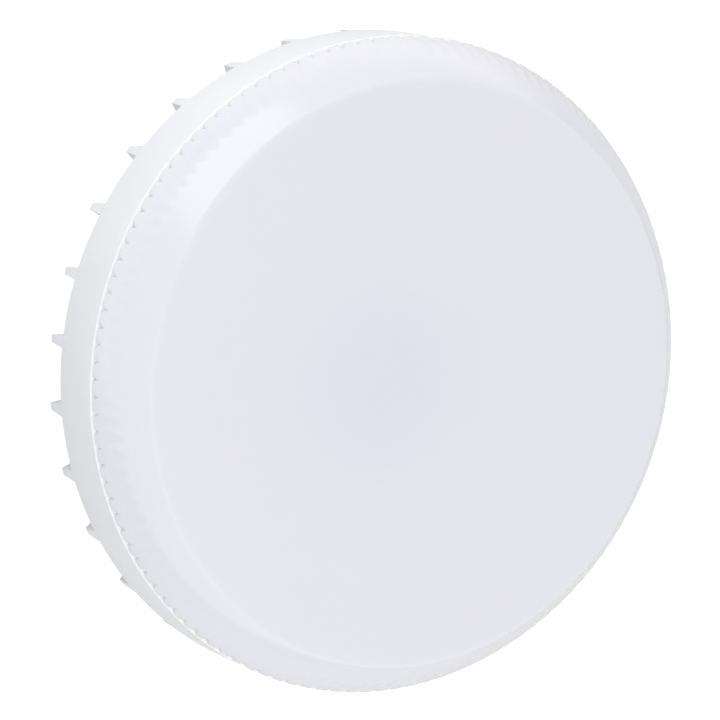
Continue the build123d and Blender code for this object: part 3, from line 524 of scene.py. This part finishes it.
class DISCLAMP_OT_housing(bpy.types.Operator):
    """Turn the white housing and set its cooling fins, posts and ribs"""
    bl_idname = "disclamp.housing"
    bl_label = "Housing"

    def execute(self, context):
        size = sizes(context, "disc_lamp_housing")
        plate = size["boss_height"]
        rear = plate + size["shoulder_depth"]
        seam = rear + size["ring_height"]
        rear_radius = size["ring_radius"] - size["ring_height"] * tan(size["ring_draft"])
        shoulder_radius = rear_radius - size["rear_rim"]
        plate_radius = shoulder_radius - size["shoulder_width"]
        boss_end = size["boss_radius"] - plate * tan(size["boss_draft"])
        bore = size["ring_radius"] - size["ring_wall"]
        boss_bore = size["boss_radius"] - size["boss_wall"]
        plate_top = plate + size["plate_wall"]

        # One fin: a drafted block from the rim down, cut along its sloping crest, its edges rounded
        mesh = bmesh.new()
        outer = rear_radius - size["fin_inset"]
        fin_length = outer - plate_radius + size["fin_root"]
        bmesh.ops.create_grid(mesh, x_segments=1, y_segments=1, size=0.5)
        bmesh.ops.scale(mesh, verts=mesh.verts, vec=(fin_length, size["fin_thickness"], 1))
        bmesh.ops.translate(mesh, verts=mesh.verts, vec=(outer - fin_length / 2, 0, rear))
        down = bmesh.ops.extrude_face_region(mesh, geom=mesh.faces[:], use_keep_orig=True)
        tip = [item for item in down["geom"] if isinstance(item, bmesh.types.BMVert)]
        bmesh.ops.translate(mesh, verts=tip, vec=(0, 0, -size["shoulder_depth"]))
        taper = size["shoulder_depth"] * tan(size["fin_draft"])
        for vert in tip:
            vert.co.x += taper if vert.co.x < outer - fin_length / 2 else -taper
            vert.co.y += taper if vert.co.y < 0 else -taper
        crest_end = Vector((outer - size["fin_drop"] * tan(size["fin_draft"]), 0, rear - size["fin_drop"]))
        run = crest_end - Vector((plate_radius, 0, plate))
        bmesh.ops.bisect_plane(mesh, geom=mesh.verts[:] + mesh.edges[:] + mesh.faces[:], plane_co=crest_end,
                               plane_no=(run.z, 0, -run.x), clear_outer=True)
        bmesh.ops.holes_fill(mesh, edges=[edge for edge in mesh.edges if edge.is_boundary], sides=0)
        below = rear - size["fin_drop"] / 2
        rounded = [edge for edge in mesh.edges if all(vert.co.z < below for vert in edge.verts)]
        bmesh.ops.bevel(mesh, geom=rounded, offset=size["fin_round"], offset_type="OFFSET", affect="EDGES",
                        segments=FIN_SEGMENTS, profile=0.5, material=-1)
        whole = mesh.verts[:] + mesh.edges[:] + mesh.faces[:]
        pitch = 2 * pi / size["fin_count"]
        bmesh.ops.spin(mesh, geom=whole, cent=(0, 0, 0), axis=(0, 0, 1), angle=2 * pi - pitch,
                       steps=size["fin_count"] - 1, use_duplicate=True)

        slope = size["shoulder_width"] / size["shoulder_depth"]
        lean = size["ring_wall"] * sqrt(1 + slope ** 2)
        cone_foot = plate_radius - lean + size["plate_wall"] * slope
        cone_top = plate + (bore - plate_radius + lean) / slope
        bore_end = boss_bore - (plate_top - size["boss_floor"]) * tan(size["boss_draft"])
        turned(mesh, [(0, 0), (boss_end, 0), (size["boss_radius"], plate), (plate_radius, plate),
                      (shoulder_radius, rear), (rear_radius, rear),
                      (size["ring_radius"], seam - size["rim_bevel"]),
                      (size["ring_radius"] - size["rim_bevel"], seam), (bore, seam), (bore, cone_top),
                      (cone_foot, plate_top), (boss_bore, plate_top), (bore_end, size["boss_floor"]),
                      (0, size["boss_floor"])],
               rounds=((1, size["boss_round"]), (2, size["boss_root_round"]), (3, size["plate_round"]),
                       (4, size["rim_round"]), (5, size["rim_round"]), (8, size["seam_round"])))

        # What stands inside: holes and collars for the pins, screw posts, ribs, ledges and key of the board
        foot = plate_top - OVERLAP
        top = size["post_top"]
        hole = size["pin_bore"]
        collar_top = plate_top + size["collar_height"]
        for side in (-1, 1):
            pin_x = side * sizes(context, "disc_lamp_pins")["spacing"] / 2
            bored(mesh, pin_x, hole, hole + PATCH_MARGIN, (plate, plate_top))
            turned(mesh, [(hole, foot), (size["pin_collar"], foot), (size["pin_collar"], collar_top),
                          (hole, collar_top), (hole, foot)], steps=BORE_STEPS, centre=(pin_x, 0))
        hole_end = top - size["pilot_depth"]
        for bearing in POST_BEARINGS:
            spot = (size["post_circle"] * cos(radians(bearing)), size["post_circle"] * sin(radians(bearing)))
            turned(mesh, [(0, foot), (size["post_radius"], foot), (size["post_radius"], top),
                          (size["pilot_radius"], top), (size["pilot_radius"], hole_end), (0, hole_end)],
                   steps=BORE_STEPS, centre=spot)
        for bearing in RIB_BEARINGS:
            block(mesh, size["rib_start"], size["rib_end"], size["rib_width"], foot, top, bearing)
        wall = boss_bore + OVERLAP
        floor = size["boss_floor"] - OVERLAP
        board = size["board_level"]
        for bearing in LEDGE_BEARINGS:
            block(mesh, boss_bore - size["ledge_reach"], wall, size["ledge_width"], floor, board, bearing)
        block(mesh, boss_bore - size["key_reach"], wall, size["key_width"], floor,
              board + size["board_thickness"], KEY_BEARING)
        finished(mesh, "housing_moulding", "housing", housing_plastic(context))
        return {"FINISHED"}


class DISCLAMP_OT_diffuser(bpy.types.Operator):
    """Turn the opal diffuser, cut the notches of its edge and ripple its side"""
    bl_idname = "disclamp.diffuser"
    bl_label = "Diffuser"

    def execute(self, context):
        ring = sizes(context, "disc_lamp_housing")
        size = sizes(context, "disc_lamp_diffuser")
        seam = ring["boss_height"] + ring["shoulder_depth"] + ring["ring_height"]
        base = ring["ring_radius"] - size["edge_step"]
        face = ring["ring_radius"] - size["face_inset"]
        shoulder = seam + size["face_height"]
        top = shoulder + size["dome"]
        skirt = ring["ring_radius"] - ring["ring_wall"] - size["skirt_gap"]
        skirt_inside = skirt - size["skirt_wall"]
        skirt_foot = seam - size["skirt_depth"]
        wall = size["wall"]
        slope = (base - face) / size["face_height"]
        inset = wall * sqrt(1 + slope ** 2)

        # A bow of a quarter of its rise makes the dome part of a sphere. The side has close rows over the
        # notches, and every fourth row above them.
        dome = arc((face, shoulder), (0, top), size["dome"] / 4, DOME_ROWS)
        rows = arc((base, seam), (face, shoulder), size["side_bulge"], SIDE_ROWS)
        side = rows[:CLOSE_ROWS] + rows[CLOSE_ROWS + 1::4]
        inner_face = (face - inset + slope * wall, shoulder - wall)
        inner_dome = arc(inner_face, (0, top - wall), size["dome"] / 4, INNER_DOME_ROWS)
        outline = ([(0, top)] + dome[-2::-1] + side[::-1]
                   + [(base, seam), (skirt, seam), (skirt, skirt_foot), (skirt_inside, skirt_foot),
                      (skirt_inside, seam + wall), (base - inset - slope * wall, seam + wall), inner_face]
                   + inner_dome)
        mesh = bmesh.new()
        turned(mesh, outline, rounds=((len(dome), size["face_round"]),),
               steps=size["notch_count"] * STEPS_PER_NOTCH)

        # The notches are upright grooves that run out on the bowed side
        side_length = size["face_height"] * sqrt(1 + slope ** 2)
        side_radius = (side_length ** 2 / 4 + size["side_bulge"] ** 2) / (2 * size["side_bulge"])
        depth = (side_radius - size["side_bulge"]) / side_length
        middle = ((base + face) / 2 - size["face_height"] * depth,
                  (seam + shoulder) / 2 - (base - face) * depth)
        root = middle[0] + sqrt(side_radius ** 2 - (seam + size["notch_height"] - middle[1]) ** 2)
        half_mouth = size["notch_width"] / 2

        # The ripple swells above each notch and fades out again halfway up the side
        for vert in mesh.verts:
            rise = vert.co.z - seam
            reach = vert.co.xy.length
            if -LEVEL_MATCH < rise < size["ripple_end"] and reach > skirt + SKIRT_MARGIN:
                turn = atan2(vert.co.y, vert.co.x) - size["notch_angle"]
                part = turn * size["notch_count"] / (2 * pi)
                off = abs(part - round(part)) * 2 * pi * base / size["notch_count"]
                swell = max(0, (rise - size["notch_height"]) / (size["ripple_height"] - size["notch_height"]))
                fade = (size["ripple_end"] - rise) / (size["ripple_end"] - size["ripple_height"])
                wave = size["ripple"] * cos(2 * pi * part) * min(swell, fade)
                groove = root + (base - root) * off / half_mouth
                vert.co.xy *= min(reach + wave, groove) / reach
        finished(mesh, "opal_cap", "diffuser", opal_diffuser(context))
        return {"FINISHED"}


class DISCLAMP_OT_contact_pins(bpy.types.Operator):
    """Turn the two mushroom contact pins"""
    bl_idname = "disclamp.contact_pins"
    bl_label = "Contact pins"

    def execute(self, context):
        size = sizes(context, "disc_lamp_pins")
        plate = sizes(context, "disc_lamp_housing")["boss_height"]
        head = size["head_radius"]
        neck = size["neck_radius"]
        flange = size["flange_radius"]
        flange_foot = plate - size["flange_height"]
        brass = contact_brass()
        for side, node in ((-1, "contact_pin_left"), (1, "contact_pin_right")):
            low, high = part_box(node)
            tip = low.z / MM
            top = high.z / MM
            head_top = tip + size["head_height"]
            rivet_foot = top - size["rivet_height"]
            wire_end = top - size["wire_depth"]
            crown = arc((0, tip), (head, tip + size["crown_height"]), size["crown_bow"], CROWN_ROWS)
            mesh = bmesh.new()
            turned(mesh, [(0, tip)] + crown + [(head, head_top), (neck, head_top), (neck, flange_foot),
                                               (flange, flange_foot), (flange, plate),
                                               (size["shank_radius"], plate),
                                               (size["shank_radius"], rivet_foot),
                                               (size["rivet_radius"], rivet_foot),
                                               (size["rivet_radius"], top), (size["wire_bore"], top),
                                               (size["wire_bore"], wire_end), (0, wire_end)],
                   rounds=((CROWN_ROWS + 1, size["head_round"]), (CROWN_ROWS + 2, size["neck_foot_round"]),
                           (CROWN_ROWS + 3, size["neck_top_round"]), (CROWN_ROWS + 4, size["flange_round"]),
                           (CROWN_ROWS + 5, size["flange_round"])), steps=PIN_STEPS)
            bmesh.ops.translate(mesh, verts=mesh.verts, vec=(side * size["spacing"] / 2, 0, 0))
            finished(mesh, "turned_" + node, node, brass)
        return {"FINISHED"}


class DISCLAMP_OT_inner_parts(bpy.types.Operator):
    """Give every piece inside the housing the surface of its slot"""
    bl_idname = "disclamp.inner_parts"
    bl_label = "Inner parts"

    def execute(self, context):
        surfaces = inner_surfaces()
        for subpart in frame["record"]["subparts"]:
            slot = subpart["material_slot"]
            if slot in surfaces:
                node = frame["nodes"][subpart["node"]]
                node.data.materials.clear()
                node.data.materials.append(surfaces[slot])
        return {"FINISHED"}


# Studio

# The camera that fits the photograph: turns in degrees, places and reach in metres, lens and sensor in
# millimetres
VIEW_TURNS = (("Y", 30.05), ("X", 8.86), ("Z", 9.77))
FITTED_LEVEL = 13.2 * MM
CAMERA_PLACE = (1.037 * MM, -0.574 * MM, 792.9 * MM)
CAMERA_LENS = 348.7
CAMERA_SENSOR = 36.0
CAMERA_REACH = 20.0

# Softboxes: name, bearing and rise in degrees, distance, width and height in metres, watts, seen in mirrors
SOFTBOXES = (("short softbox", 111, 15.5, 0.9, 0.95, 0.49, 1.25, True),
             ("long softbox", 100, 15.5, 0.9, 2.3, 0.49, 2.3, False),
             ("broad softbox", 246, 20, 1.0, 1.6, 0.8, 4.6, False))
# Inputs of a Map Range node, as those of the paper are: 1 and 2 are where its range starts and ends, 3 and 4
# what it gives there. A softbox gives no light at half its width from its middle, and full light at a fifth.
SOFTBOX_FADE = {1: 0.5, 2: 0.2, 3: 0.0, 4: 1.0}
LIT_LEVEL = 20 * MM
AMBIENT = 0.84

# The paper floor: its painted light, the tones and where they change along a direction towards the upper
# softboxes;
# its glow to the eye, and its painted reflection, the glow in mirrors near and far with the distances of both
FLOOR_RADIUS = 6
FLOOR_STEPS = 64
LIT_SIDE = (-0.31, 0.95, 0)
PAINTED_LIGHT_TONES = {1: 0.02, 2: 0.065, 3: 0.41, 4: 0.83}
GLOW = 0.8
PAINTED_REFLECTION_GLOW = {1: 0.1, 2: 0.3, 3: 0.4, 4: 0.22}


def photo_view():
    """The lamp's frame as the photograph's camera sees it: x right, y up, z towards the camera."""
    view = Matrix.Identity(3)
    for axis, degrees in VIEW_TURNS:
        view = view @ Matrix.Rotation(radians(degrees), 3, axis)
    return view


def white_to_the_eye(material, shade, seen):
    """Emission for camera, glossy and transmission rays, so that the backdrop shows white there."""
    path = add_node(material, "ShaderNodeLightPath")
    direct = add_node(material, "ShaderNodeMath", {0: path.outputs["Is Camera Ray"],
                                                   1: path.outputs["Is Glossy Ray"]}, operation="MAXIMUM")
    either = add_node(material, "ShaderNodeMath", {0: direct.outputs["Value"],
                                                   1: path.outputs["Is Transmission Ray"]},
                      operation="MAXIMUM")
    return add_node(material, "ShaderNodeMixShader", {0: either.outputs["Value"], 1: shade, 2: seen})


def floor_paper():
    """Matt white paper with painted light, paler towards the upper softboxes, and a painted reflection,
    dimmer in mirrors the farther it lies.
    """
    paper = bpy.data.materials.new("matt white paper")
    paper.use_nodes = True
    paper.node_tree.nodes.clear()
    place = add_node(paper, "ShaderNodeTexCoord").outputs["Object"]
    towards = add_node(paper, "ShaderNodeVectorMath", {0: place, 1: LIT_SIDE}, operation="DOT_PRODUCT")
    # Painted light: the paper is drawn paler towards the upper softboxes, for more bounce there
    pale = add_node(paper, "ShaderNodeMapRange", {"Value": towards.outputs["Value"], **PAINTED_LIGHT_TONES})
    matt = add_node(paper, "ShaderNodeBsdfDiffuse", {"Color": pale.outputs["Result"]})
    mirrored = add_node(paper, "ShaderNodeLightPath").outputs["Is Glossy Ray"]
    reach = add_node(paper, "ShaderNodeVectorMath", {0: place}, operation="LENGTH")
    # Painted reflection: glossy rays see the paper glow, less the farther it lies
    painted_reflection = add_node(paper, "ShaderNodeMapRange", {"Value": reach.outputs["Value"], **PAINTED_REFLECTION_GLOW})
    strength = add_node(paper, "ShaderNodeMix", {0: mirrored, 2: GLOW, 3: painted_reflection.outputs["Result"]})
    glow = add_node(paper, "ShaderNodeEmission", {"Strength": strength.outputs[0]})
    bright = add_node(paper, "ShaderNodeAddShader", {0: matt.outputs["BSDF"], 1: glow.outputs["Emission"]})
    both = white_to_the_eye(paper, matt.outputs["BSDF"], bright.outputs["Shader"])
    add_node(paper, "ShaderNodeOutputMaterial", {"Surface": both.outputs["Shader"]})
    return paper


def white_world():
    """A plain white world, a little dimmer as a light than to the eye."""
    world = bpy.data.worlds.new("white studio")
    world.use_nodes = True
    world.node_tree.nodes.clear()
    ambient = add_node(world, "ShaderNodeBackground", {"Color": (1, 1, 1, 1), "Strength": AMBIENT})
    white = add_node(world, "ShaderNodeBackground", {"Color": (1, 1, 1, 1), "Strength": 1.0})
    sky = white_to_the_eye(world, ambient.outputs["Background"], white.outputs["Background"])
    add_node(world, "ShaderNodeOutputWorld", {"Surface": sky.outputs["Shader"]})
    return world


def softbox_light(name, width, height, power):
    """A rectangular area light that is dimmer towards its two ends."""
    light = bpy.data.lights.new(name, "AREA")
    light.shape = "RECTANGLE"
    light.size = width
    light.size_y = height
    light.energy = power
    light.use_nodes = True
    light.node_tree.nodes.clear()
    across = add_node(light, "ShaderNodeNewGeometry").outputs["Parametric"]
    along = add_node(light, "ShaderNodeSeparateXYZ", {"Vector": across}).outputs["X"]
    aside = add_node(light, "ShaderNodeMath", {0: along, 1: 0.5}, operation="SUBTRACT")
    ends = add_node(light, "ShaderNodeMath", {0: aside.outputs["Value"]}, operation="ABSOLUTE")
    fade = add_node(light, "ShaderNodeMapRange", {"Value": ends.outputs["Value"], **SOFTBOX_FADE},
                    interpolation_type="SMOOTHSTEP")
    glow = add_node(light, "ShaderNodeEmission", {"Strength": fade.outputs["Result"]})
    add_node(light, "ShaderNodeOutputLight", {"Surface": glow.outputs["Emission"]})
    return light


class DISCLAMP_OT_studio(bpy.types.Operator):
    """Set the pale floor, the soft lamps and the camera at the photograph's viewing angle"""
    bl_idname = "disclamp.studio"
    bl_label = "Studio"

    def execute(self, context):
        scene = context.scene
        scene.view_settings.view_transform = "Standard"

        floor_mesh = bmesh.new()
        bmesh.ops.create_circle(floor_mesh, cap_ends=True, segments=FLOOR_STEPS, radius=FLOOR_RADIUS)
        data = bpy.data.meshes.new("floor")
        floor_mesh.to_mesh(data)
        floor_mesh.free()
        floor = bpy.data.objects.new("floor", data)
        scene.collection.objects.link(floor)
        data.materials.append(floor_paper())
        scene.world = white_world()

        # Two softboxes stand low at the upper left as the camera sees it, and one at the lower left
        lit = Vector((0, 0, LIT_LEVEL))
        for name, bearing, rise, distance, width, height, power, in_mirrors in SOFTBOXES:
            holder = bpy.data.objects.new(name, softbox_light(name, width, height, power))
            scene.collection.objects.link(holder)
            holder.location = lit + Vector((distance * cos(radians(bearing)) * cos(radians(rise)),
                                            distance * sin(radians(bearing)) * cos(radians(rise)),
                                            distance * sin(radians(rise))))
            holder.rotation_euler = (lit - holder.location).to_track_quat("-Z", "Y").to_euler()
            holder.visible_camera = False
            holder.visible_glossy = in_mirrors

        # Long lens: the pinhole that fits the photograph's outline, seam, shoulder and fins
        lens = bpy.data.cameras.new("photograph")
        lens.sensor_width = CAMERA_SENSOR
        lens.lens = CAMERA_LENS
        lens.clip_end = CAMERA_REACH
        camera = bpy.data.objects.new("photograph", lens)
        scene.collection.objects.link(camera)
        to_lamp = photo_view().transposed()
        place = to_lamp @ Vector(CAMERA_PLACE) + Vector((0, 0, FITTED_LEVEL))
        camera.matrix_world = Matrix.Translation(place) @ to_lamp.to_4x4()
        scene.camera = camera
        return {"FINISHED"}


class DISCLAMP_PT_sidebar(bpy.types.Panel):
    """The lamp's tools, sizes and colours in the sidebar of the 3D view"""
    bl_label = "LED disc lamp"
    bl_idname = "DISCLAMP_PT_sidebar"
    bl_space_type = "VIEW_3D"
    bl_region_type = "UI"
    bl_category = "Disc lamp"

    def draw(self, context):
        for operator in OPERATORS:
            self.layout.operator(operator.bl_idname)
        for group in GROUPS:
            settings = getattr(context.scene, group)
            box = self.layout.box()
            for key in settings.__annotations__:
                box.prop(settings, key)


OPERATORS = (DISCLAMP_OT_housing, DISCLAMP_OT_diffuser, DISCLAMP_OT_contact_pins, DISCLAMP_OT_inner_parts,
             DISCLAMP_OT_studio)
GROUPS = {"disc_lamp_housing": HousingSizes, "disc_lamp_diffuser": DiffuserSizes, "disc_lamp_pins": PinSizes,
          "disc_lamp_colours": LampColours}


def register():
    for group, kind in GROUPS.items():
        bpy.utils.register_class(kind)
        setattr(bpy.types.Scene, group, PointerProperty(type=kind))
    for kind in (*OPERATORS, DISCLAMP_PT_sidebar):
        bpy.utils.register_class(kind)


def unregister():
    for kind in (DISCLAMP_PT_sidebar, *reversed(OPERATORS)):
        bpy.utils.unregister_class(kind)
    for group, kind in reversed(GROUPS.items()):
        delattr(bpy.types.Scene, group)
        bpy.utils.unregister_class(kind)


def main():
    """Registers the tools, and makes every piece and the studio."""
    register()
    bpy.ops.disclamp.housing()
    bpy.ops.disclamp.diffuser()
    bpy.ops.disclamp.contact_pins()
    bpy.ops.disclamp.inner_parts()
    bpy.ops.disclamp.studio()


if __name__ == "__main__":
    main()
